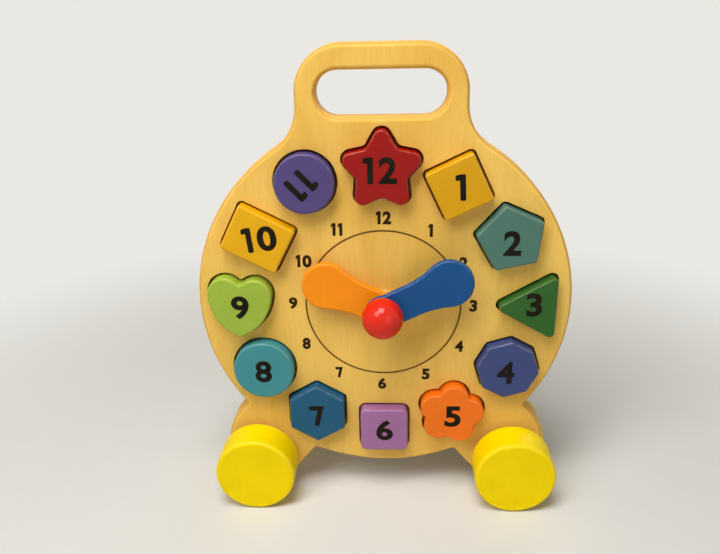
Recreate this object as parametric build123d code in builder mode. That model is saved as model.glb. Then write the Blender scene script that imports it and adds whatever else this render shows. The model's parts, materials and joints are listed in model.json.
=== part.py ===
from build123d import *
from math import acos, cos, degrees, radians, sin, sqrt
import os

os.makedirs("parts", exist_ok=True)

# Wooden teaching clock on wheels. Its face looks towards -Y and +Z is up. The origin is
# on the floor, under the middle of the whole clock.

# Ring of twelve blocks round the dial. The span sets the size of every block, and with
# the web between two windows it sets the ring and the board round it
block_span = 45
block_web = 2.4
rim_wall = 7

# Board: two plywood layers of one outline
front_thickness = 10
back_thickness = 6
edge_round = 3

# Grip: a bar over a slot, on top of the disc
grip_width = 103
grip_corner = 28
grip_neck = 30
grip_bar = 15
slot_width = 78
slot_height = 27
slot_inset = 1

# Legs and axles: each axle lies outside the disc's rim, at an angle from straight down,
# and the leg is measured from the axle's axis
axle_reach = 24.6
axle_angle = 37.2
leg_wall = 22
leg_inner_wall = 27
leg_shoulder = 41
leg_shoulder_rise = 9
leg_shoulder_angle = 60
leg_slant_angle = 50
leg_root = 45
leg_corner = 18
leg_notch = 2

# Wheels and their axles
wheel_radius = 27
wheel_thickness = 24
wheel_round = 2.5
wheel_gap = 3
hub_radius = 12
hub_clearance = 0.5
axle_radius = 5
axle_bore_depth = 15

# Hands on their spindle
spindle_radius = 4
spindle_sink = 4
washer_radius = 10
dial_spacer_thickness = 4
hand_washer_thickness = 1.5
hand_thickness = 5
hand_neck_width = 21.5
hand_hub_flare = 0.75
hand_paddle_radius = 15.5
hand_neck_fillet = 55
hand_hub_fillet = 6
hand_round = 1.5
hand_clearance = 7.4
hour_shortfall = 6.8
hour_angle = 294
minute_angle = 64

# Ball knob, glued on the spindle with its flat towards the hands
ball_radius = 13
ball_flat = 5.3
ball_bore_depth = 10

# Shape blocks, in windows that are wider all round
block_thickness = 17
block_round = 1.5
block_chamfer = 0.8
window_gap = 1.5
polygon_round = 2
star_tip_radius = 0.66 * block_span
star_valley_radius = 0.36 * block_span
star_round = 5
square_side = block_span / sqrt(2)
square_angle = 25.5
pentagon_radius = 0.49 * block_span
pentagon_angle = -60
triangle_radius = 0.578 * block_span
triangle_round = 3
triangle_angle = 90
octagon_radius = 0.46 * block_span
octagon_angle = -5.5
petal_radius = 0.218 * block_span
petal_distance = 0.271 * block_span
petal_valley = 3
flower_angle = -8
soft_square_side = 0.715 * block_span
soft_square_round = 4
hexagon_radius = 0.478 * block_span
circle_radius = 0.451 * block_span
heart_lobe_radius = 0.245 * block_span
heart_lobe_spread = 0.215 * block_span
heart_lobe_rise = 0.205 * block_span
heart_side_radius = 0.71 * block_span
heart_round = 3
heart_angle = -4
rectangle_length = 0.855 * block_span
rectangle_width = 0.693 * block_span
rectangle_angle = -27.5
small_circle_radius = 0.413 * block_span

# Some windows lie a little off the common ring, outward or inward, and onward, which is
# clockwise, or back
star_inward = 2.4
square_onward = 1
triangle_outward = 5.5
octagon_outward = 1.5
octagon_back = 2.4
circle_outward = 1
circle_onward = 0.6
heart_outward = 1.6
rectangle_inward = 0.5
rectangle_onward = 1.3
small_circle_outward = 2.7

# Magnets in the blocks, and the steel discs under the windows that they hold on to
magnet_radius = 5
magnet_thickness = 3
keeper_radius = 7
keeper_thickness = 1

# Clearances
running_fit = 0.05
glue_gap = 0.1
turn_gap = 0.3

# Twelve windows share the ring, so two neighbours lie 30 degrees apart
hour_step = 30
block_ring = (block_span + block_web) / (2 * sin(radians(hour_step / 2)))
disc_radius = block_ring + block_span / 2 + rim_wall
slot_sill = disc_radius - slot_inset
axle_spread = (disc_radius + axle_reach) * sin(radians(axle_angle))
axle_drop = (disc_radius + axle_reach) * cos(radians(axle_angle))

# The minute hand stays inside the ring of blocks
minute_reach = block_ring - block_span / 2 - hand_clearance - hand_paddle_radius
hour_reach = minute_reach - hour_shortfall

# Heights in front of the board's face, where the stack on the spindle follows
hour_height = dial_spacer_thickness + turn_gap
hand_washer_height = hour_height + hand_thickness + turn_gap
minute_height = hand_washer_height + hand_washer_thickness + turn_gap
ball_seat = minute_height + hand_thickness + turn_gap
ball_height = ball_seat + ball_flat
board_thickness = front_thickness + back_thickness

# The clock is as deep as the ball reaches in front and the rear wheels reach behind
front_reach = ball_height + ball_radius
rear_reach = board_thickness + wheel_gap + wheel_thickness
face_y = (front_reach - rear_reach) / 2
dial_height = wheel_radius + axle_drop

# Every layer is drawn on this plane, or on one in front of it or behind it
dial = Plane(origin=(0, face_y, dial_height), x_dir=(1, 0, 0), z_dir=(0, -1, 0))
middle = Plane.XZ.offset(-face_y - board_thickness / 2)
dial_axis = Axis((0, face_y, dial_height), (0, -1, 0))


def on_rim(vertex):
    return abs(sqrt(vertex.X**2 + vertex.Y**2) - disc_radius) < 0.01


def board_outline():
    """Disc with the grip on top and a leg on each side."""
    grip_top = slot_sill + slot_height + grip_bar
    slant = radians(leg_slant_angle)
    shoulder_x = axle_spread + leg_wall - leg_shoulder
    leg_bottom = -axle_drop - leg_wall
    # The leg's inner edge passes the axle at its own distance and runs up into the disc
    edge_x = axle_spread - leg_inner_wall * sin(slant)
    edge_y = -axle_drop - leg_inner_wall * cos(slant)
    foot_x = edge_x + (edge_y - leg_bottom) * cos(slant) / sin(slant)
    root_x = edge_x - leg_root * cos(slant)
    root_y = edge_y + leg_root * sin(slant)
    with BuildSketch() as leg:
        with BuildLine():
            shoulder = CenterArc(
                (shoulder_x, leg_shoulder_rise - axle_drop),
                leg_shoulder,
                0,
                leg_shoulder_angle,
            )
            Polyline(
                shoulder @ 0,
                (axle_spread + leg_wall, leg_bottom),
                (foot_x, leg_bottom),
                (root_x, root_y),
                shoulder @ 1,
            )
        make_face()
        fillet(leg.vertices().group_by(Axis.Y)[0], radius=leg_corner)
    with BuildSketch() as outline:
        Circle(disc_radius)
        with BuildSketch(mode=Mode.PRIVATE) as grip:
            with Locations((0, grip_top / 2)):
                Rectangle(grip_width, grip_top)
            fillet(grip.vertices().group_by(Axis.Y)[-1], radius=grip_corner)
        add(grip.sketch)
        necks = outline.vertices().filter_by(lambda v: on_rim(v) and v.Y > grip_width / 2)
        fillet(necks, radius=grip_neck)
        add(leg.sketch)
        add(mirror(leg.sketch, about=Plane.YZ, mode=Mode.PRIVATE))
        notches = outline.vertices().filter_by(lambda v: on_rim(v) and v.Y < -leg_notch)
        fillet(notches, radius=leg_notch)
        with Locations((0, slot_sill + slot_height / 2)):
            SlotOverall(slot_width, slot_height, mode=Mode.SUBTRACT)
    return outline.sketch


def star():
    """Five soft points."""
    with BuildSketch() as shape:
        with BuildLine():
            corners = []
            for point in range(5):
                tip = radians(90 + 72 * point)
                valley = radians(126 + 72 * point)
                corners.append((star_tip_radius * cos(tip), star_tip_radius * sin(tip)))
                corners.append(
                    (star_valley_radius * cos(valley), star_valley_radius * sin(valley))
                )
            Polyline(*corners, close=True)
        make_face()
        fillet(shape.vertices(), radius=star_round)
    return shape.sketch


def regular(radius, sides, corner):
    """Regular polygon with soft corners, one of them up."""
    with BuildSketch() as shape:
        RegularPolygon(radius, sides, rotation=90)
        fillet(shape.vertices(), radius=corner)
    return shape.sketch


def box_shape(length, width, corner):
    """Square or rectangle with rounded corners."""
    with BuildSketch() as shape:
        RectangleRounded(length, width, corner)
    return shape.sketch


def disc_shape(radius):
    """Plain circle."""
    with BuildSketch() as shape:
        Circle(radius)
    return shape.sketch


def flower():
    """Five round petals that run into each other, one of them up."""
    with BuildSketch() as shape:
        Circle(petal_distance)
        with PolarLocations(petal_distance, 5, start_angle=90):
            Circle(petal_radius)
        valley = petal_distance + petal_radius / 2
        inner = shape.vertices().filter_by(lambda v: sqrt(v.X**2 + v.Y**2) < valley)
        fillet(inner, radius=petal_valley)
    return shape.sketch


def heart():
    """Two round lobes over two bulging sides that meet in a blunt tip."""
    side_centre = heart_lobe_spread + heart_lobe_radius - heart_side_radius
    lobe_turn = degrees(acos(-heart_lobe_spread / heart_lobe_radius))
    side_turn = degrees(acos(-side_centre / heart_side_radius))
    with BuildSketch() as shape:
        with BuildLine():
            CenterArc((heart_lobe_spread, heart_lobe_rise), heart_lobe_radius, 0, lobe_turn)
            CenterArc((side_centre, heart_lobe_rise), heart_side_radius, -side_turn, side_turn)
            mirror(about=Plane.YZ)
        make_face()
        on_middle = shape.vertices().filter_by(lambda v: abs(v.X) < 0.01)
        fillet(on_middle, radius=heart_round)
    return shape.sketch


def hand_outline(reach):
    """Paddle that points up: a round hub, a neck and a round blade."""
    with BuildSketch() as shape:
        with Locations((0, reach / 2)):
            Rectangle(hand_neck_width, reach)
        Circle(hand_neck_width / 2 + hand_hub_flare)
        with Locations((0, reach)):
            Circle(hand_paddle_radius)
        beside = shape.vertices().filter_by(lambda v: abs(abs(v.X) - hand_neck_width / 2) < 0.01)
        fillet(beside.group_by(Axis.Y)[-1], radius=hand_neck_fillet)
        beside = shape.vertices().filter_by(lambda v: abs(abs(v.X) - hand_neck_width / 2) < 0.01)
        fillet(beside.group_by(Axis.Y)[0], radius=hand_hub_fillet)
        Circle(spindle_radius + running_fit, mode=Mode.SUBTRACT)
    return shape.sketch


def turned(outline, angle):
    """Outline turned about its own centre, as it lies in the board."""
    return outline.rotate(Axis.Z, angle)


# The blocks in the order of their hours, from 12: name, outline as it lies, how far out it
# lies from the common ring, and how far onward
square = box_shape(square_side, square_side, polygon_round)
pentagon = regular(pentagon_radius, 5, polygon_round)
triangle = regular(triangle_radius, 3, triangle_round)
octagon = regular(octagon_radius, 8, polygon_round)
soft_square = box_shape(soft_square_side, soft_square_side, soft_square_round)
hexagon = regular(hexagon_radius, 6, polygon_round)
rectangle = box_shape(rectangle_length, rectangle_width, polygon_round)
shapes = [
    ("12_star", star(), -star_inward, 0),
    ("01_square", turned(square, square_angle), 0, square_onward),
    ("02_pentagon", turned(pentagon, pentagon_angle), 0, 0),
    ("03_triangle", turned(triangle, triangle_angle), triangle_outward, 0),
    ("04_octagon", turned(octagon, octagon_angle), octagon_outward, -octagon_back),
    ("05_flower", turned(flower(), flower_angle), 0, 0),
    ("06_square", soft_square, 0, 0),
    ("07_hexagon", hexagon, 0, 0),
    ("08_circle", disc_shape(circle_radius), circle_outward, circle_onward),
    ("09_heart", turned(heart(), heart_angle), heart_outward, 0),
    ("10_rectangle", turned(rectangle, rectangle_angle), -rectangle_inward, rectangle_onward),
    ("11_circle", disc_shape(small_circle_radius), small_circle_outward, 0),
]
blocks = []
for step, (name, outline, outward, onward) in enumerate(shapes):
    bearing = radians(hour_step * step)
    ring = block_ring + outward
    across = ring * sin(bearing) + onward * cos(bearing)
    up = ring * cos(bearing) - onward * sin(bearing)
    blocks.append((name, outline, (across, up)))
floor_plane = dial.offset(-front_thickness)
axle_places = [(-axle_spread, -axle_drop), (axle_spread, -axle_drop)]

# Front board, with the twelve windows and the holes for spindle and axles
with BuildPart() as front_board:
    with BuildSketch(floor_plane):
        add(board_outline())
    extrude(amount=front_thickness)
    fillet(front_board.faces().sort_by(Axis.Y)[0].edges(), radius=edge_round)
    with BuildSketch(floor_plane):
        for name, outline, place in blocks:
            with Locations(place):
                add(offset(outline, amount=window_gap, mode=Mode.PRIVATE))
        Circle(spindle_radius + glue_gap)
        with Locations(axle_places):
            Circle(axle_radius + running_fit)
    extrude(amount=front_thickness, mode=Mode.SUBTRACT)
front_board.part.label = "front_board"
export_step(front_board.part, "parts/front_board.step")

# Back board, with pockets for the steel discs and a blind hole for the spindle
with BuildPart() as back_board:
    with BuildSketch(dial.offset(-board_thickness)):
        add(board_outline())
    extrude(amount=back_thickness)
    fillet(back_board.faces().sort_by(Axis.Y)[-1].edges(), radius=edge_round)
    with BuildSketch(floor_plane):
        for name, outline, place in blocks:
            with Locations(place):
                Circle(keeper_radius + glue_gap)
    extrude(amount=-keeper_thickness, mode=Mode.SUBTRACT)
    with BuildSketch(floor_plane):
        Circle(spindle_radius + glue_gap)
    extrude(amount=-spindle_sink, mode=Mode.SUBTRACT)
    with BuildSketch(floor_plane):
        with Locations(axle_places):
            Circle(axle_radius + running_fit)
    extrude(amount=-back_thickness, mode=Mode.SUBTRACT)
back_board.part.label = "back_board"
export_step(back_board.part, "parts/back_board.step")

# Steel discs, glued flush into the back board in the middle of each window
with BuildPart() as keeper_discs:
    with BuildSketch(floor_plane):
        for name, outline, place in blocks:
            with Locations(place):
                Circle(keeper_radius)
    extrude(amount=-keeper_thickness)
keeper_discs.part.label = "keeper_discs"
export_step(keeper_discs.part, "parts/keeper_discs.step")

# Shape blocks: each lies on its window's floor and stands proud of the face
seat_plane = floor_plane.offset(turn_gap)
for name, outline, place in blocks:
    with BuildPart() as block:
        with BuildSketch(seat_plane):
            with Locations(place):
                add(outline)
        extrude(amount=block_thickness)
        fillet(block.faces().sort_by(Axis.Y)[0].edges(), radius=block_round)
        chamfer(block.faces().sort_by(Axis.Y)[-1].edges(), length=block_chamfer)
        with BuildSketch(seat_plane):
            with Locations(place):
                Circle(magnet_radius + glue_gap)
        extrude(amount=magnet_thickness, mode=Mode.SUBTRACT)
    block.part.label = f"block_{name}"
    export_step(block.part, f"parts/block_{name}.step")

    # Magnet, flush in the block's back
    with BuildPart() as magnet:
        with BuildSketch(seat_plane):
            with Locations(place):
                Circle(magnet_radius)
        extrude(amount=magnet_thickness)
    magnet.part.label = f"magnet_{name[:2]}"
    export_step(magnet.part, f"parts/magnet_{name[:2]}.step")

# Spindle: a dowel glued into both boards and into the ball
with BuildPart() as spindle:
    with BuildSketch(floor_plane.offset(-spindle_sink)):
        Circle(spindle_radius)
    extrude(amount=spindle_sink + front_thickness + ball_seat + ball_bore_depth)
spindle.part.label = "spindle"
export_step(spindle.part, "parts/spindle.step")

# Spacer behind the hour hand
with BuildPart() as dial_spacer:
    with BuildSketch(dial):
        Circle(washer_radius)
        Circle(spindle_radius + running_fit, mode=Mode.SUBTRACT)
    extrude(amount=dial_spacer_thickness)
dial_spacer.part.label = "dial_spacer"
export_step(dial_spacer.part, "parts/dial_spacer.step")

# Washer between the hands
with BuildPart() as hand_washer:
    with BuildSketch(dial.offset(hand_washer_height)):
        Circle(washer_radius)
        Circle(spindle_radius + running_fit, mode=Mode.SUBTRACT)
    extrude(amount=hand_washer_thickness)
hand_washer.part.label = "hand_washer"
export_step(hand_washer.part, "parts/hand_washer.step")

# Hands: the hour hand lies next to the board, the longer minute hand on top
hands = [
    ("hour_hand", hour_height, hour_reach, hour_angle),
    ("minute_hand", minute_height, minute_reach, minute_angle),
]
for name, height, reach, angle in hands:
    with BuildPart() as hand:
        with BuildSketch(dial.offset(height)):
            add(turned(hand_outline(reach), -angle))
        extrude(amount=hand_thickness)
        sides = hand.faces().sort_by(Axis.Y)
        fillet(
            sides[0].outer_wire().edges() + sides[-1].outer_wire().edges(),
            radius=hand_round,
        )
    hand.part.label = name
    export_step(hand.part, f"parts/{name}.step")

# Ball knob: a turned ball with a flat and a blind bore
ball_plane = Plane(origin=(0, face_y, dial_height), x_dir=(1, 0, 0), z_dir=(0, 0, -1))
with BuildPart() as ball_knob:
    with BuildSketch(ball_plane):
        with Locations((0, ball_height)):
            Circle(ball_radius)
        with Locations((-ball_radius, ball_height)):
            Rectangle(2 * ball_radius, 2 * ball_radius, mode=Mode.SUBTRACT)
        with Locations((0, ball_seat - ball_radius)):
            Rectangle(4 * ball_radius, 2 * ball_radius, mode=Mode.SUBTRACT)
        with Locations((0, ball_seat)):
            Rectangle(
                2 * (spindle_radius + glue_gap),
                2 * (ball_bore_depth + glue_gap),
                mode=Mode.SUBTRACT,
            )
    revolve(axis=dial_axis)
ball_knob.part.label = "ball_knob"
export_step(ball_knob.part, "parts/ball_knob.step")

# Axles and wheels: each axle turns in a leg and has a wheel glued on both ends
for side, x in (("left", -axle_spread), ("right", axle_spread)):
    with BuildPart() as axle:
        with BuildSketch(dial.offset(wheel_gap + axle_bore_depth - glue_gap)):
            with Locations((x, -axle_drop)):
                Circle(axle_radius)
        extrude(amount=-(board_thickness + 2 * (wheel_gap + axle_bore_depth - glue_gap)))
    axle.part.label = f"axle_{side}"
    export_step(axle.part, f"parts/axle_{side}.step")

    wheel_plane = Plane(origin=(x, face_y, wheel_radius), x_dir=(1, 0, 0), z_dir=(0, 0, -1))
    with BuildPart() as wheel_front:
        with BuildSketch(wheel_plane) as profile:
            with BuildLine():
                Polyline(
                    (axle_radius + glue_gap, hub_clearance),
                    (hub_radius, hub_clearance),
                    (hub_radius, wheel_gap),
                    (wheel_radius, wheel_gap),
                    (wheel_radius, wheel_gap + wheel_thickness),
                    (0, wheel_gap + wheel_thickness),
                    (0, wheel_gap + axle_bore_depth),
                    (axle_radius + glue_gap, wheel_gap + axle_bore_depth),
                    close=True,
                )
            make_face()
            fillet(profile.vertices().group_by(Axis.X)[-1], radius=wheel_round)
        revolve(axis=Axis((x, face_y, wheel_radius), (0, -1, 0)))
    wheel_front.part.label = f"wheel_front_{side}"
    export_step(wheel_front.part, f"parts/wheel_front_{side}.step")

    # Rear wheel: the same turned piece, facing the other way
    with BuildPart() as wheel_rear:
        mirror(wheel_front.part, about=middle)
    wheel_rear.part.label = f"wheel_rear_{side}"
    export_step(wheel_rear.part, f"parts/wheel_rear_{side}.step")
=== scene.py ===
import bpy
import json
from math import cos, pi, radians, sin
from mathutils import Matrix, Vector


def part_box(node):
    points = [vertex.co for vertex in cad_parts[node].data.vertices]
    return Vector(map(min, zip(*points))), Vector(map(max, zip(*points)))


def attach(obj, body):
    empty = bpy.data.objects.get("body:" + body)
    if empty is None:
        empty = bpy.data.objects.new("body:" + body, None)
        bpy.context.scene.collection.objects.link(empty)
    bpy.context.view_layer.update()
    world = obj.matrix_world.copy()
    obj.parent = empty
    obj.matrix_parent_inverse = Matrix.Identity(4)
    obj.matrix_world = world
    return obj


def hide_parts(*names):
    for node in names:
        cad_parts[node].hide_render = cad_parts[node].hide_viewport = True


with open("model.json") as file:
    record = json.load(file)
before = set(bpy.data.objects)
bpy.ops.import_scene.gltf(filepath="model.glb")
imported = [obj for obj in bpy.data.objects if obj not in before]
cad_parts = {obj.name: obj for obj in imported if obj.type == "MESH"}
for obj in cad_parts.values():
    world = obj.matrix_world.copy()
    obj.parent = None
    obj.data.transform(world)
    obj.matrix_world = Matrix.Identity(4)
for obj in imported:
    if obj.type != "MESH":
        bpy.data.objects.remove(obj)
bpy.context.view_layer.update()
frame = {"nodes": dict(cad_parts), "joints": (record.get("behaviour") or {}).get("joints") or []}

# Board: two layers of birch plywood, glued face to face and sawn to one outline with the
# grip and the legs. Both faces are rounded over, sanded and clear lacquered, so the
# veneers show as stripes on the rounding, on the rim and in the windows.
dial_centre = Vector(frame["joints"][0]["pos_m"])
board_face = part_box("front_board")[0].y
weld_distance = 0.000002


def only(piece):
    """Selects one piece alone and makes it the active one."""
    bpy.ops.object.select_all(action="DESELECT")
    piece.select_set(True)
    bpy.context.view_layer.objects.active = piece


def smooth(piece, angle=35):
    """Soft shading on round surfaces, crisp corners, and flat faces that stay flat."""
    only(piece)
    bpy.ops.object.shade_smooth_by_angle(angle=radians(angle))
    piece.modifiers.new("flat faces", "WEIGHTED_NORMAL").keep_sharp = True
    bpy.ops.object.modifier_apply(modifier="flat faces")


def dress(node, body, material):
    """A welded copy of a CAD node with smooth curves, in the node's place and finish."""
    piece = bpy.data.objects.new("finished_" + node, frame["nodes"][node].data.copy())
    bpy.context.scene.collection.objects.link(piece)
    only(piece)
    bpy.ops.mesh.customdata_custom_splitnormals_clear()
    bpy.ops.object.mode_set(mode="EDIT")
    bpy.ops.mesh.select_all(action="SELECT")
    bpy.ops.mesh.remove_doubles(threshold=weld_distance)
    bpy.ops.object.mode_set(mode="OBJECT")
    smooth(piece)
    piece.data.materials.clear()
    piece.data.materials.append(material)
    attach(piece, body)
    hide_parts(node)


def colour(red, green, blue):
    """A colour as the eye sees it, 0 to 255, in the renderer's own scale."""
    parts = [c / 255 for c in (red, green, blue)]
    parts = [c / 12.92 if c <= 0.04045 else ((c + 0.055) / 1.055) ** 2.4 for c in parts]
    return (*parts, 1)


def finish(name, roughness, coat=0.0, coat_roughness=0.1):
    """A new material and its shader."""
    material = bpy.data.materials.new(name)
    material.use_nodes = True
    shader = material.node_tree.nodes["Principled BSDF"]
    shader.inputs["Roughness"].default_value = roughness
    shader.inputs["Specular IOR Level"].default_value = 0.03
    shader.inputs["Coat Weight"].default_value = coat
    shader.inputs["Coat Roughness"].default_value = coat_roughness
    return material, shader


def add(material, kind, inputs=(), **settings):
    """A node with its settings, and with values or links on the named inputs."""
    node = material.node_tree.nodes.new("ShaderNode" + kind)
    for key, value in settings.items():
        setattr(node, key, value)
    for key, value in dict(inputs).items():
        if isinstance(value, bpy.types.NodeSocket):
            material.node_tree.links.new(value, node.inputs[key])
        else:
            node.inputs[key].default_value = value
    return node


def place(material, centre, stretch):
    """Object coordinates from a centre, stretched so that a pattern gets its shape."""
    where = add(material, "TexCoord").outputs["Object"]
    middle = add(material, "Mapping", {"Vector": where, "Location": -Vector(centre)})
    return add(material, "Mapping", {"Vector": middle.outputs[0], "Scale": stretch}).outputs[0]


def noise(material, vector, scale, detail=3.0, rough=0.5, bend=0.0):
    """Cloudy pattern from 0 to 1."""
    inputs = {"Vector": vector, "Scale": scale, "Detail": detail, "Roughness": rough}
    return add(material, "TexNoise", {**inputs, "Distortion": bend}).outputs[0]


def between(material, value, low, high, start=0.0, end=1.0):
    """Turns low to high into start to end, with soft ends."""
    inputs = {"Value": value, "From Min": low, "From Max": high, "To Min": start, "To Max": end}
    return add(material, "MapRange", inputs, interpolation_type="SMOOTHSTEP").outputs[0]


def sum_of(material, operation, first, second):
    """Arithmetic on two values."""
    return add(material, "Math", {0: first, 1: second}, operation=operation).outputs[0]


def blend(material, share, under, over):
    """One colour over another."""
    inputs = {"Factor": share, "A": under, "B": over}
    node = add(material, "Mix", data_type="RGBA")
    for key, value in inputs.items():
        socket = [s for s in node.inputs if s.name == key and s.enabled][0]
        if isinstance(value, bpy.types.NodeSocket):
            material.node_tree.links.new(value, socket)
        else:
            socket.default_value = value
    return [s for s in node.outputs if s.enabled][0]


def wire(material, shader, tint, height=None, depth=0.00002, strength=0.3):
    """Puts the colour, and a fine relief, on the shader."""
    material.node_tree.links.new(tint, shader.inputs["Base Color"])
    if height is not None:
        inputs = {"Height": height, "Distance": depth, "Strength": strength}
        relief = add(material, "Bump", inputs).outputs[0]
        material.node_tree.links.new(relief, shader.inputs["Normal"])


def facing(material):
    """How squarely the surface faces front or back: 1 on the faces, 0 on the sides."""
    normal = add(material, "TexCoord").outputs["Normal"]
    side = add(material, "SeparateXYZ", {0: normal}).outputs[1]
    return sum_of(material, "ABSOLUTE", side, 0.0)


def plywood(name, veneer):
    """Lacquered birch plywood: face grain upright, and veneers in turn on the edges."""
    material, shader = finish(name, 0.55, 0.12, 0.22)
    figure = noise(material, place(material, dial_centre, (26, 26, 7)), 1.0, 4, 0.55, 0.9)
    fibre = noise(material, place(material, dial_centre, (1100, 1100, 30)), 1.0, 3, 0.6)
    pores = noise(material, place(material, dial_centre, (1500, 1500, 160)), 1.0, 2, 0.4)
    darker, lighter = colour(231, 182, 81), colour(243, 200, 100)
    late_wood, pore_brown = colour(206, 150, 66), colour(172, 116, 52)
    tint = blend(material, between(material, figure, 0.3, 0.7), darker, lighter)
    tint = blend(material, between(material, fibre, 0.42, 0.75, 0, 0.15), tint, late_wood)
    tint = blend(material, between(material, pores, 0.62, 0.76, 0, 0.15), tint, pore_brown)
    # Edges: every second veneer shows end grain, with a thin glue line between veneers
    where = add(material, "TexCoord").outputs["Object"]
    depth = add(material, "SeparateXYZ", {0: where}).outputs[1]
    depth = sum_of(material, "SUBTRACT", depth, board_face)
    layer = sum_of(material, "DIVIDE", depth, veneer)
    turn = sum_of(material, "PINGPONG", layer, 1.0)
    cross = between(material, turn, 0.46, 0.54)
    speck = noise(material, place(material, dial_centre, (900, 260, 900)), 1.0, 3, 0.6)
    end_grain = blend(material, speck, colour(214, 150, 62), colour(238, 184, 90))
    edge = blend(material, cross, tint, end_grain)
    seam = sum_of(material, "ABSOLUTE", sum_of(material, "SUBTRACT", turn, 0.5), 0.0)
    glue = between(material, seam, 0.0, 0.09, 0.4, 0.0)
    edge = blend(material, glue, edge, colour(158, 98, 38))
    tint = blend(material, between(material, facing(material), 0.86, 0.97), edge, tint)
    wire(material, shader, tint, fibre, 0.00003, 0.16)
    return material


veneer_thickness = 0.0013
board_wood = plywood("birch_plywood", veneer_thickness)
dress("front_board", "clock", board_wood)
dress("back_board", "clock", board_wood)

# Printed circle: a thin brown line, screen printed on the lacquered face round the
# middle of the dial.
circle_radius = 0.0502
circle_line = 0.0011
print_height = 0.00006
bpy.ops.object.select_all(action="DESELECT")
bpy.ops.mesh.primitive_circle_add(vertices=192, radius=circle_radius + circle_line / 2)
dial_circle = bpy.context.object
dial_circle.name = "dial_circle"
bpy.ops.object.mode_set(mode="EDIT")
bpy.ops.mesh.select_all(action="SELECT")
bpy.ops.mesh.extrude_region_move()
inward = 1 - circle_line / (circle_radius + circle_line / 2)
bpy.ops.transform.resize(value=(inward, inward, 1), center_override=(0, 0, 0))
bpy.ops.object.mode_set(mode="OBJECT")
dial_circle.modifiers.new("ink", "SOLIDIFY").thickness = print_height * 2
dial_circle.modifiers["ink"].offset = 0
bpy.ops.object.modifier_apply(modifier="ink")
dial_circle.rotation_euler = (pi / 2, 0, 0)
dial_circle.location = (dial_centre.x, board_face, dial_centre.z)
bpy.ops.object.transform_apply(location=True, rotation=True, scale=True)
bpy.ops.object.mode_set(mode="EDIT")
bpy.ops.mesh.select_all(action="SELECT")
bpy.ops.mesh.normals_make_consistent(inside=False)
bpy.ops.object.mode_set(mode="OBJECT")


def ink(name, shade, worn):
    """Printing ink, a little uneven where the wood's fibres took less of it."""
    material, shader = finish(name, 0.5)
    fibre = noise(material, place(material, dial_centre, (1600, 1600, 260)), 1.0, 2, 0.5)
    cloud = noise(material, place(material, dial_centre, (90, 90, 90)), 1.0, 2, 0.5)
    tint = blend(material, cloud, shade, worn)
    tint = blend(material, between(material, fibre, 0.6, 0.8, 0, 0.5), tint, worn)
    wire(material, shader, tint, fibre, 0.00001, 0.2)
    return material


dial_circle.data.materials.append(ink("brown_ink", colour(92, 62, 26), colour(120, 86, 42)))
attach(dial_circle, "clock")

# Printed figures: twelve hours in dark ink on the dial, all but upright, in bold plain
# numerals without feet. The 1 is a round-cornered stem with a short drooping flag, and
# the stem of the 7 is steep. The widths are shares of the height.
figure_widths = {"0": 0.76, "1": 0.38, "2": 0.68, "3": 0.62, "4": 0.70, "5": 0.68}
figure_widths.update({"6": 0.71, "7": 0.66, "8": 0.69, "9": 0.71})
steeper_seven = 0.17
stem_width = 0.15
flag_height = 0.14
one_round = 0.055


def open_with(piece, kind, wanted):
    """Opens a piece for editing, with only the edges or polygons that are wanted selected."""
    only(piece)
    mesh = piece.data
    bpy.context.tool_settings.mesh_select_mode = (False, kind == "edges", kind == "polygons")
    for parts in (mesh.vertices, mesh.edges, mesh.polygons):
        parts.foreach_set("select", [False] * len(parts))
    for part in getattr(mesh, kind):
        part.select = wanted(part)
    bpy.ops.object.mode_set(mode="EDIT")
    bpy.ops.mesh.select_mode(type="EDGE" if kind == "edges" else "FACE")


def ends(piece, edge):
    """The two ends of an edge."""
    return [piece.data.vertices[v].co for v in edge.vertices]


def flagged_one(weight, droop):
    """A figure 1, one unit high, facing up with its foot on the X axis."""
    stem = stem_width + 2 * weight
    bpy.ops.mesh.primitive_cube_add(size=1, location=(-stem / 2, 0.5, 0))
    one = bpy.context.object
    one.scale = (stem, 1, 0.02)
    bpy.ops.object.transform_apply(location=True, rotation=True, scale=True)
    bpy.ops.object.mode_set(mode="EDIT")
    bpy.ops.mesh.select_all(action="SELECT")
    bpy.ops.mesh.bisect(plane_co=(0, 1 - flag_height - 2 * weight, 0), plane_no=(0, 1, 0))
    bpy.ops.object.mode_set(mode="OBJECT")
    open_with(one, "polygons", lambda face: face.normal.x < -0.9 and face.center.y > 0.8)
    reach = stem - figure_widths["1"]
    bpy.ops.mesh.extrude_region_move(TRANSFORM_OT_translate={"value": (reach, -droop, 0)})
    bpy.ops.object.mode_set(mode="OBJECT")
    sides = [(a - b).normalized() for a, b in (ends(one, edge) for edge in one.data.edges)]
    open_with(one, "edges", lambda edge: abs(sides[edge.index].z) > 0.9)
    bpy.ops.mesh.bevel(offset=one_round, segments=4, affect="EDGES")
    bpy.ops.object.mode_set(mode="OBJECT")
    return one


def drawn_figure(sign, weight):
    """One figure of the plain typeface, thickened, one unit high."""
    bpy.ops.object.text_add()
    text = bpy.context.object
    text.data.body = sign
    text.data.extrude = 0.01
    text.data.bevel_depth = weight
    text.data.bevel_resolution = 1
    bpy.ops.object.convert(target="MESH")
    return bpy.context.object


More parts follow.
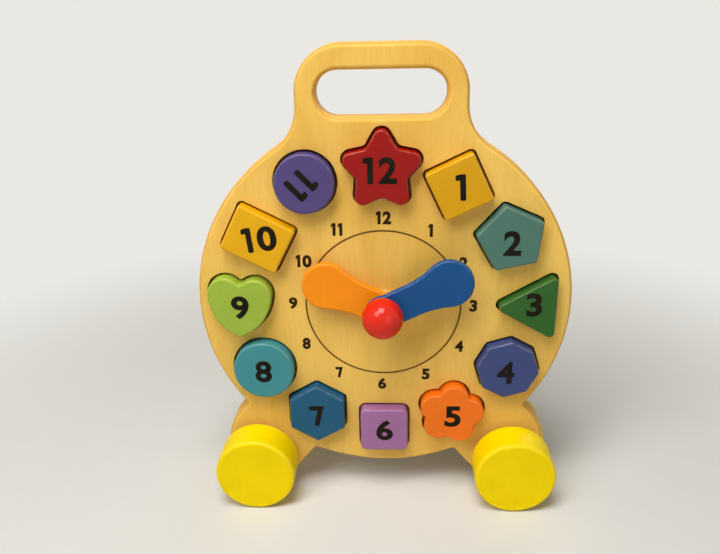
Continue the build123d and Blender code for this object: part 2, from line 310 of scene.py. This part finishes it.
def typeface(weight, breadth, droop):
    """The ten figures at one weight, each one unit high, as meshes to copy."""
    figures = {}
    for sign in "0123456789":
        bpy.ops.object.select_all(action="DESELECT")
        figure = flagged_one(weight, droop) if sign == "1" else drawn_figure(sign, weight)
        corners = [v.co for v in figure.data.vertices]
        low = Vector(min(c[i] for c in corners) for i in range(3))
        high = Vector(max(c[i] for c in corners) for i in range(3))
        size = high - low
        width = figure_widths[sign] * breadth
        shrink = Matrix.Diagonal((width / size.x, 1 / size.y, 1 / size.z, 1))
        figure.data.transform(shrink @ Matrix.Translation(-low))
        if sign == "7":
            slant = Matrix(((1, -steeper_seven, 0, steeper_seven), (0, 1, 0, 0)))
            slant.resize_4x4()
            figure.data.transform(slant)
        figures[sign] = figure.data
        bpy.data.objects.remove(figure)
    return figures


def number(name, text, figures, gap, height, x, z, face, lean, body, material):
    """Prints a number on a face, with its middle at a place beside the dial's centre."""
    bpy.ops.object.select_all(action="DESELECT")
    pen = 0.0
    for sign in text:
        piece = bpy.data.objects.new(name, figures[sign].copy())
        bpy.context.scene.collection.objects.link(piece)
        piece.data.transform(Matrix.Translation((pen, -0.5, -0.5)))
        piece.select_set(True)
        bpy.context.view_layer.objects.active = piece
        pen += max(v.co.x for v in figures[sign].vertices) + gap
    bpy.ops.object.join()
    piece = bpy.context.object
    piece.name = name
    middle = Matrix.Translation((-(pen - gap) / 2, 0, 0))
    piece.data.transform(Matrix.Diagonal((height, height, print_height * 2, 1)) @ middle)
    piece.rotation_euler = (pi / 2, radians(lean), 0)
    piece.location = (dial_centre.x + x, face, dial_centre.z + z)
    bpy.ops.object.transform_apply(location=True, rotation=True, scale=True)
    piece.data.materials.append(material)
    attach(piece, body)


dial_ink = ink("dial_ink", colour(38, 27, 12), colour(58, 43, 22))
dial_figures = typeface(0.05, 0.94, 0.14)
dial_gap = 0.15
dial_ring = 0.0586
dial_height = 0.0084
dial_turn = 0.95
dial_left = 0.0002
for hour in range(1, 13):
    turn = radians(30 * hour + dial_turn)
    x, z = dial_ring * sin(turn) - dial_left, dial_ring * cos(turn)
    number(
        f"dial_{hour:02d}",
        str(hour),
        dial_figures,
        dial_gap,
        dial_height,
        x,
        z,
        board_face,
        dial_turn,
        "clock",
        dial_ink,
    )

# Shape blocks: sawn from 17 mm board, edges rounded over and painted all round with
# gloss enamel, paler over the roundings: partly thinner paint, partly a painted highlight.
# Each has its hour printed in black and lies loose in its window, held by the magnet in
# its back. The round 11 has turned in its window.
block_height = 0.0162
block_gap = 0.20
block_figures = typeface(0.035, 1.0, 0.04)
block_ink = ink("block_ink", colour(22, 20, 14), colour(40, 36, 26))


def enamel(name, paint, centre, roughness=0.34, coat=0.36, thin=0.4):
    """Gloss enamel on wood: soft cloudiness, faint grain, and roundings paled by thin cover and
    a painted highlight.
    """
    material, shader = finish(name, roughness, coat, 0.07)
    pale = tuple(0.80 * c + 0.20 * w for c, w in zip(paint, colour(236, 214, 170)))
    deep = tuple(0.82 * c for c in paint[:3]) + (1,)
    cloud = noise(material, place(material, centre, (45, 45, 45)), 1.0, 3, 0.5)
    grain = noise(material, place(material, centre, (700, 700, 36)), 1.0, 3, 0.6)
    peel = noise(material, place(material, centre, (420, 420, 420)), 1.0, 2, 0.4)
    tint = blend(material, between(material, cloud, 0.3, 0.7, 0, 0.3), paint, deep)
    tint = blend(material, between(material, grain, 0.5, 0.8, 0, 0.16), tint, deep)
    flat = facing(material)
    rounding = sum_of(
        material,
        "MULTIPLY",
        between(material, flat, 0.12, 0.5),
        between(material, flat, 0.8, 0.97, 1, 0),
    )
    # The roundings turn paler: partly thinner paint over the edges, partly a painted highlight
    thin_paint_and_highlight = between(material, peel, 0.35, 0.65, 0.2 * thin, thin)
    tint = blend(material, sum_of(material, "MULTIPLY", rounding, thin_paint_and_highlight), tint, pale)
    relief = sum_of(material, "MULTIPLY_ADD", grain, 0.35)
    material.node_tree.links.new(peel, relief.node.inputs[2])
    wire(material, shader, tint, relief, 0.00006, 0.16)
    return material


# Each block: its name, its number, its paint, and the number's place and lean
blocks = [
    ("12_star", "12", (156, 14, 8), (-0.0010, 0.0898), 0),
    ("01_square", "1", (218, 160, 4), (0.0472, 0.0791), -3),
    ("02_pentagon", "2", (78, 120, 106), (0.0798, 0.0439), 0),
    ("03_triangle", "3", (47, 98, 38), (0.0957, 0.0028), -3),
    ("04_octagon", "4", (61, 74, 124), (0.0805, -0.0460), 0),
    ("05_flower", "5", (246, 118, 18), (0.0466, -0.0799), 0),
    ("06_square", "6", (166, 112, 162), (0.0003, -0.0913), 0),
    ("07_hexagon", "7", (28, 89, 124), (-0.0461, -0.0806), -1),
    ("08_circle", "8", (66, 142, 148), (-0.0805, -0.0461), 2),
    ("09_heart", "9", (158, 184, 62), (-0.0923, 0.0008), -3),
    ("10_rectangle", "10", (232, 172, 6), (-0.0765, 0.0473), -6),
    ("11_circle", "11", (84, 70, 124), (-0.0484, 0.0819), 136.5),
]
for name, text, paint, (x, z), lean in blocks:
    hour = name[:2]
    body = "shape_" + hour
    low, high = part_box("block_" + name)
    coat = enamel("enamel_" + hour, colour(*paint), (low + high) / 2)
    dress("block_" + name, body, coat)
    number(
        "number_" + hour,
        text,
        block_figures,
        block_gap,
        block_height,
        x,
        z,
        low.y,
        lean,
        body,
        block_ink,
    )

# Magnets and steel discs: a nickel plated button magnet let into the back of each block,
# and a zinc plated disc under each window that it holds on to. Both are glued in flush.


def plated(name, bright, dull, roughness):
    """Plated metal with fine scratches and a slightly cloudy surface."""
    material, shader = finish(name, roughness)
    shader.inputs["Metallic"].default_value = 1.0
    cloud = noise(material, place(material, dial_centre, (260, 260, 260)), 1.0, 3, 0.6)
    lines = noise(material, place(material, dial_centre, (3000, 3000, 120)), 1.0, 2, 0.5)
    tint = blend(material, between(material, cloud, 0.35, 0.7), bright, dull)
    wire(material, shader, tint, lines, 0.00001, 0.25)
    return material


nickel = plated("nickel_plating", colour(196, 192, 184), colour(158, 154, 148), 0.24)
zinc = plated("zinc_plating", colour(188, 190, 192), colour(146, 150, 156), 0.36)
for block in blocks:
    hour = block[0][:2]
    dress("magnet_" + hour, "shape_" + hour, nickel)
dress("keeper_discs", "clock", zinc)

# Hands: two paddles sawn from 5 mm plywood, rounded along both sides and sprayed, the
# short one orange and the long one blue. They turn on the spindle with light friction.
orange = enamel("orange_enamel", colour(252, 146, 10), dial_centre, 0.26, 0.25)
blue = enamel("blue_enamel", colour(22, 80, 138), dial_centre, 0.26, 0.25)
dress("hour_hand", "hour_hand", orange)
dress("minute_hand", "minute_hand", blue)

# Spindle, washers and axles: bare hardwood dowels and thin turned washers. The spindle
# is glued into the boards; the axles turn freely in the legs.


def dowel(name, centre, along):
    """Bare beech, with its grain along the dowel and short dark flecks."""
    material, shader = finish(name, 0.55)
    stretch = [1300, 1300, 1300]
    stretch[along] = 45
    grain = noise(material, place(material, centre, stretch), 1.0, 3, 0.6)
    stretch[along] = 340
    fleck = noise(material, place(material, centre, stretch), 1.0, 2, 0.4)
    tint = blend(material, grain, colour(206, 166, 112), colour(228, 194, 144))
    flecked = between(material, fleck, 0.62, 0.74, 0, 0.5)
    tint = blend(material, flecked, tint, colour(150, 104, 62))
    wire(material, shader, tint, grain, 0.00004, 0.35)
    return material


beech = dowel("beech_dowel", dial_centre, 1)
dress("spindle", "clock", beech)
dress("dial_spacer", "clock", beech)
dress("hand_washer", "clock", beech)
dress("axle_left", "wheels_left", beech)
dress("axle_right", "wheels_right", beech)

# Ball knob: a ball turned from hardwood with a flat and a blind bore at the back, dipped
# in red lacquer. It is glued on the spindle's end and keeps the hands on.
ball_radius = 0.0130
ball_flat = 0.0053
ball_bore = 0.0041
ball_bore_depth = 0.0101
ball_flat_edge = 0.0006
ball_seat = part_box("ball_knob")[1].y
ball_centre = Vector((dial_centre.x, ball_seat - ball_flat, dial_centre.z))
bpy.ops.object.select_all(action="DESELECT")
bpy.ops.mesh.primitive_uv_sphere_add(segments=96, ring_count=64, radius=ball_radius)
ball = bpy.context.object
ball.name = "finished_ball_knob"
ball.rotation_euler = (pi / 2, 0, 0)
ball.location = ball_centre
bpy.ops.object.transform_apply(location=True, rotation=True, scale=True)
bpy.ops.object.mode_set(mode="EDIT")
bpy.ops.mesh.select_all(action="SELECT")
bpy.ops.mesh.bisect(
    plane_co=(0, ball_seat, 0), plane_no=(0, 1, 0), use_fill=True, clear_outer=True
)
bpy.ops.object.mode_set(mode="OBJECT")
flat_radius = (ball_radius**2 - ball_flat**2) ** 0.5
open_with(ball, "polygons", lambda f: f.normal.y > 0.999 and f.center.y > ball_seat - 0.0001)
bpy.ops.mesh.inset(thickness=ball_flat_edge)
bpy.ops.mesh.inset(thickness=flat_radius - ball_flat_edge - ball_bore)
bpy.ops.mesh.extrude_region_move(
    TRANSFORM_OT_translate={"value": (0, -ball_bore_depth, 0)}
)
bpy.ops.object.mode_set(mode="OBJECT")
smooth(ball, 30)
red_lacquer = enamel("red_lacquer", colour(222, 38, 16), ball_centre, 0.2, 0.45, 0.0)
ball.data.materials.append(red_lacquer)
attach(ball, "clock")
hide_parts("ball_knob")

# Wheels: four equal discs turned from hardwood, with rounded rims and a hub that keeps
# them off the board, sprayed yellow. Each is glued on its axle's end with a blind bore,
# so no axle shows from outside.
wheel_radius = 0.027
wheel_thickness = 0.024
wheel_round = 0.0025
hub_radius = 0.012
hub_length = 0.0025
wheel_bore = 0.0051
wheel_bore_depth = 0.015
face_rim = 0.0012
face_hollow = 0.00015
bpy.ops.object.select_all(action="DESELECT")
bpy.ops.mesh.primitive_cylinder_add(
    vertices=160, radius=wheel_radius, depth=wheel_thickness, rotation=(pi / 2, 0, 0)
)
turning = bpy.context.object
bpy.ops.object.transform_apply(location=True, rotation=True, scale=True)
rims = [abs(a.y - b.y) < 0.001 for a, b in (ends(turning, e) for e in turning.data.edges)]
open_with(turning, "edges", lambda edge: rims[edge.index])
bpy.ops.mesh.bevel(offset=wheel_round, segments=8, affect="EDGES")
bpy.ops.object.mode_set(mode="OBJECT")
open_with(turning, "polygons", lambda face: face.normal.y > 0.999 and face.area > 0.001)
bpy.ops.mesh.inset(thickness=wheel_radius - wheel_round - hub_radius)
bpy.ops.mesh.extrude_region_move(TRANSFORM_OT_translate={"value": (0, hub_length, 0)})
bpy.ops.mesh.inset(thickness=hub_radius - wheel_bore)
bpy.ops.mesh.extrude_region_move(
    TRANSFORM_OT_translate={"value": (0, -hub_length - wheel_bore_depth, 0)}
)
bpy.ops.object.mode_set(mode="OBJECT")
# The front face is turned very slightly hollow, inside a narrow flat rim
open_with(turning, "polygons", lambda face: face.normal.y < -0.999 and face.area > 0.001)
bpy.ops.mesh.inset(thickness=face_rim)
bpy.ops.mesh.inset(thickness=face_rim)
bpy.ops.transform.translate(value=(0, face_hollow, 0))
bpy.ops.object.mode_set(mode="OBJECT")
smooth(turning, 30)


def wheel_enamel(name, centre):
    """Yellow enamel with the faint rings that the turning tool left in the wood."""
    material = enamel(name, colour(252, 220, 0), centre, 0.48, 0.1)
    shader = material.node_tree.nodes["Principled BSDF"]
    flat = place(material, centre, (1, 0, 1))
    reach = add(material, "VectorMath", {0: flat}, operation="LENGTH").outputs["Value"]
    rings = noise(material, add(material, "CombineXYZ", {0: reach}).outputs[0], 1100, 2, 0.5)
    inputs = {"Height": rings, "Distance": 0.00005, "Strength": 0.2}
    bump = add(material, "Bump", inputs)
    before = shader.inputs["Normal"].links[0].from_socket
    material.node_tree.links.new(before, bump.inputs["Normal"])
    material.node_tree.links.new(bump.outputs[0], shader.inputs["Normal"])
    return material


axle_places = {joint["name"]: joint.get("pos_m") for joint in frame["joints"]}
for side in ("left", "right"):
    axle = Vector(axle_places[side + "_wheels_roll"])
    axle.y = 0
    yellow = wheel_enamel("yellow_enamel_" + side, axle)
    for end in ("front", "rear"):
        node = f"wheel_{end}_{side}"
        wheel = bpy.data.objects.new("finished_" + node, turning.data.copy())
        bpy.context.scene.collection.objects.link(wheel)
        only(wheel)
        if end == "front":
            wheel.location = (axle.x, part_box(node)[0].y + wheel_thickness / 2, axle.z)
        else:
            wheel.location = (axle.x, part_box(node)[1].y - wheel_thickness / 2, axle.z)
            wheel.rotation_euler = (0, 0, pi)
        bpy.ops.object.transform_apply(location=True, rotation=True, scale=True)
        wheel.data.materials.append(yellow)
        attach(wheel, "wheels_" + side)
        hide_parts(node)
bpy.data.objects.remove(turning)

# Studio: a pale floor that sweeps up into four walls, soft lamps in front on the left, on
# the right and above, a weak one behind, and an even sky. It isn't part of the clock.
floor_span = 6
wall_height = 3
floor_sweep = 0.6
backdrop_start = 0.2
backdrop_end = 0.62
bpy.ops.object.select_all(action="DESELECT")
bpy.ops.mesh.primitive_plane_add(size=floor_span)
floor = bpy.context.object
floor.name = "floor"
open_with(floor, "edges", lambda edge: True)
bpy.ops.mesh.extrude_region_move(TRANSFORM_OT_translate={"value": (0, 0, wall_height)})
bpy.ops.object.mode_set(mode="OBJECT")
sweep = floor.modifiers.new("sweep", "BEVEL")
sweep.width = floor_sweep
sweep.segments = 16
bpy.ops.object.modifier_apply(modifier="sweep")
bpy.ops.object.shade_smooth()
pale, pale_shader = finish("pale_floor", 0.7)
cloud = noise(pale, place(pale, (0, 0, 0), (30, 30, 30)), 1.0, 3, 0.5)
wire(pale, pale_shader, blend(pale, cloud, colour(218, 216, 210), colour(222, 220, 214)))
# Away from the clock the floor and the walls run out into a plain pale backdrop
ray = add(pale, "LightPath")
shown = sum_of(pale, "MAXIMUM", ray.outputs["Is Camera Ray"], ray.outputs["Is Glossy Ray"])
shown = sum_of(pale, "MAXIMUM", shown, ray.outputs["Is Transmission Ray"])
reach = add(pale, "VectorMath", {0: place(pale, (0, 0, 0), (1, 1, 1))}, operation="LENGTH")
far = between(pale, reach.outputs["Value"], backdrop_start, backdrop_end)
glow = add(pale, "Emission", {"Color": colour(234, 232, 226), "Strength": 1.0})
mixed = add(pale, "MixShader", {0: sum_of(pale, "MULTIPLY", shown, far)})
pale.node_tree.links.new(pale_shader.outputs[0], mixed.inputs[1])
pale.node_tree.links.new(glow.outputs[0], mixed.inputs[2])
pale.node_tree.links.new(mixed.outputs[0], pale.node_tree.nodes["Material Output"].inputs[0])
floor.data.materials.append(pale)

world = bpy.data.worlds.new("soft_light")
bpy.context.scene.world = world
world.use_nodes = True
world.node_tree.nodes["Background"].inputs["Color"].default_value = (0.97, 0.98, 1, 1)
world.node_tree.nodes["Background"].inputs["Strength"].default_value = 0.29


def lamp(name, stand, aim, size, power):
    """A square soft lamp that points at a place."""
    light = bpy.data.lights.new(name, "AREA")
    light.size = size
    light.energy = power
    holder = bpy.data.objects.new(name, light)
    holder.location = stand
    holder.rotation_euler = (Vector(aim) - Vector(stand)).to_track_quat("-Z", "Y").to_euler()
    bpy.context.scene.collection.objects.link(holder)


lamp("key", (-0.55, -0.62, 0.95), (0, 0, 0.15), 0.5, 5.4)
lamp("fill", (0.8, -1.1, 0.5), (0, 0, 0.15), 0.9, 2.5)
lamp("top", (-0.12, -0.38, 1.15), (0, 0, 0.1), 0.5, 9.5)
lamp("rear", (0.5, 1.05, 0.7), (0, 0, 0.15), 0.8, 2.6)

# Camera: a little above the clock and close to it, looking down at the dial.
camera_side = 0.00909
camera_reach = 0.41753
camera_rise = 0.1828
camera_tilt = 68.51
camera_roll = 1.205
camera_turn = 2.766
lens = bpy.data.cameras.new("camera")
lens.lens = 35
lens.sensor_width = 36
lens.clip_start = 0.01
lens.shift_x = -0.0003
lens.shift_y = 0.0021
camera = bpy.data.objects.new("camera", lens)
camera.location = (camera_side, board_face - camera_reach, dial_centre.z + camera_rise)
camera.rotation_euler = (radians(camera_tilt), radians(camera_roll), radians(camera_turn))
bpy.context.scene.collection.objects.link(camera)
bpy.context.scene.camera = camera
bpy.context.scene.view_settings.view_transform = "Standard"
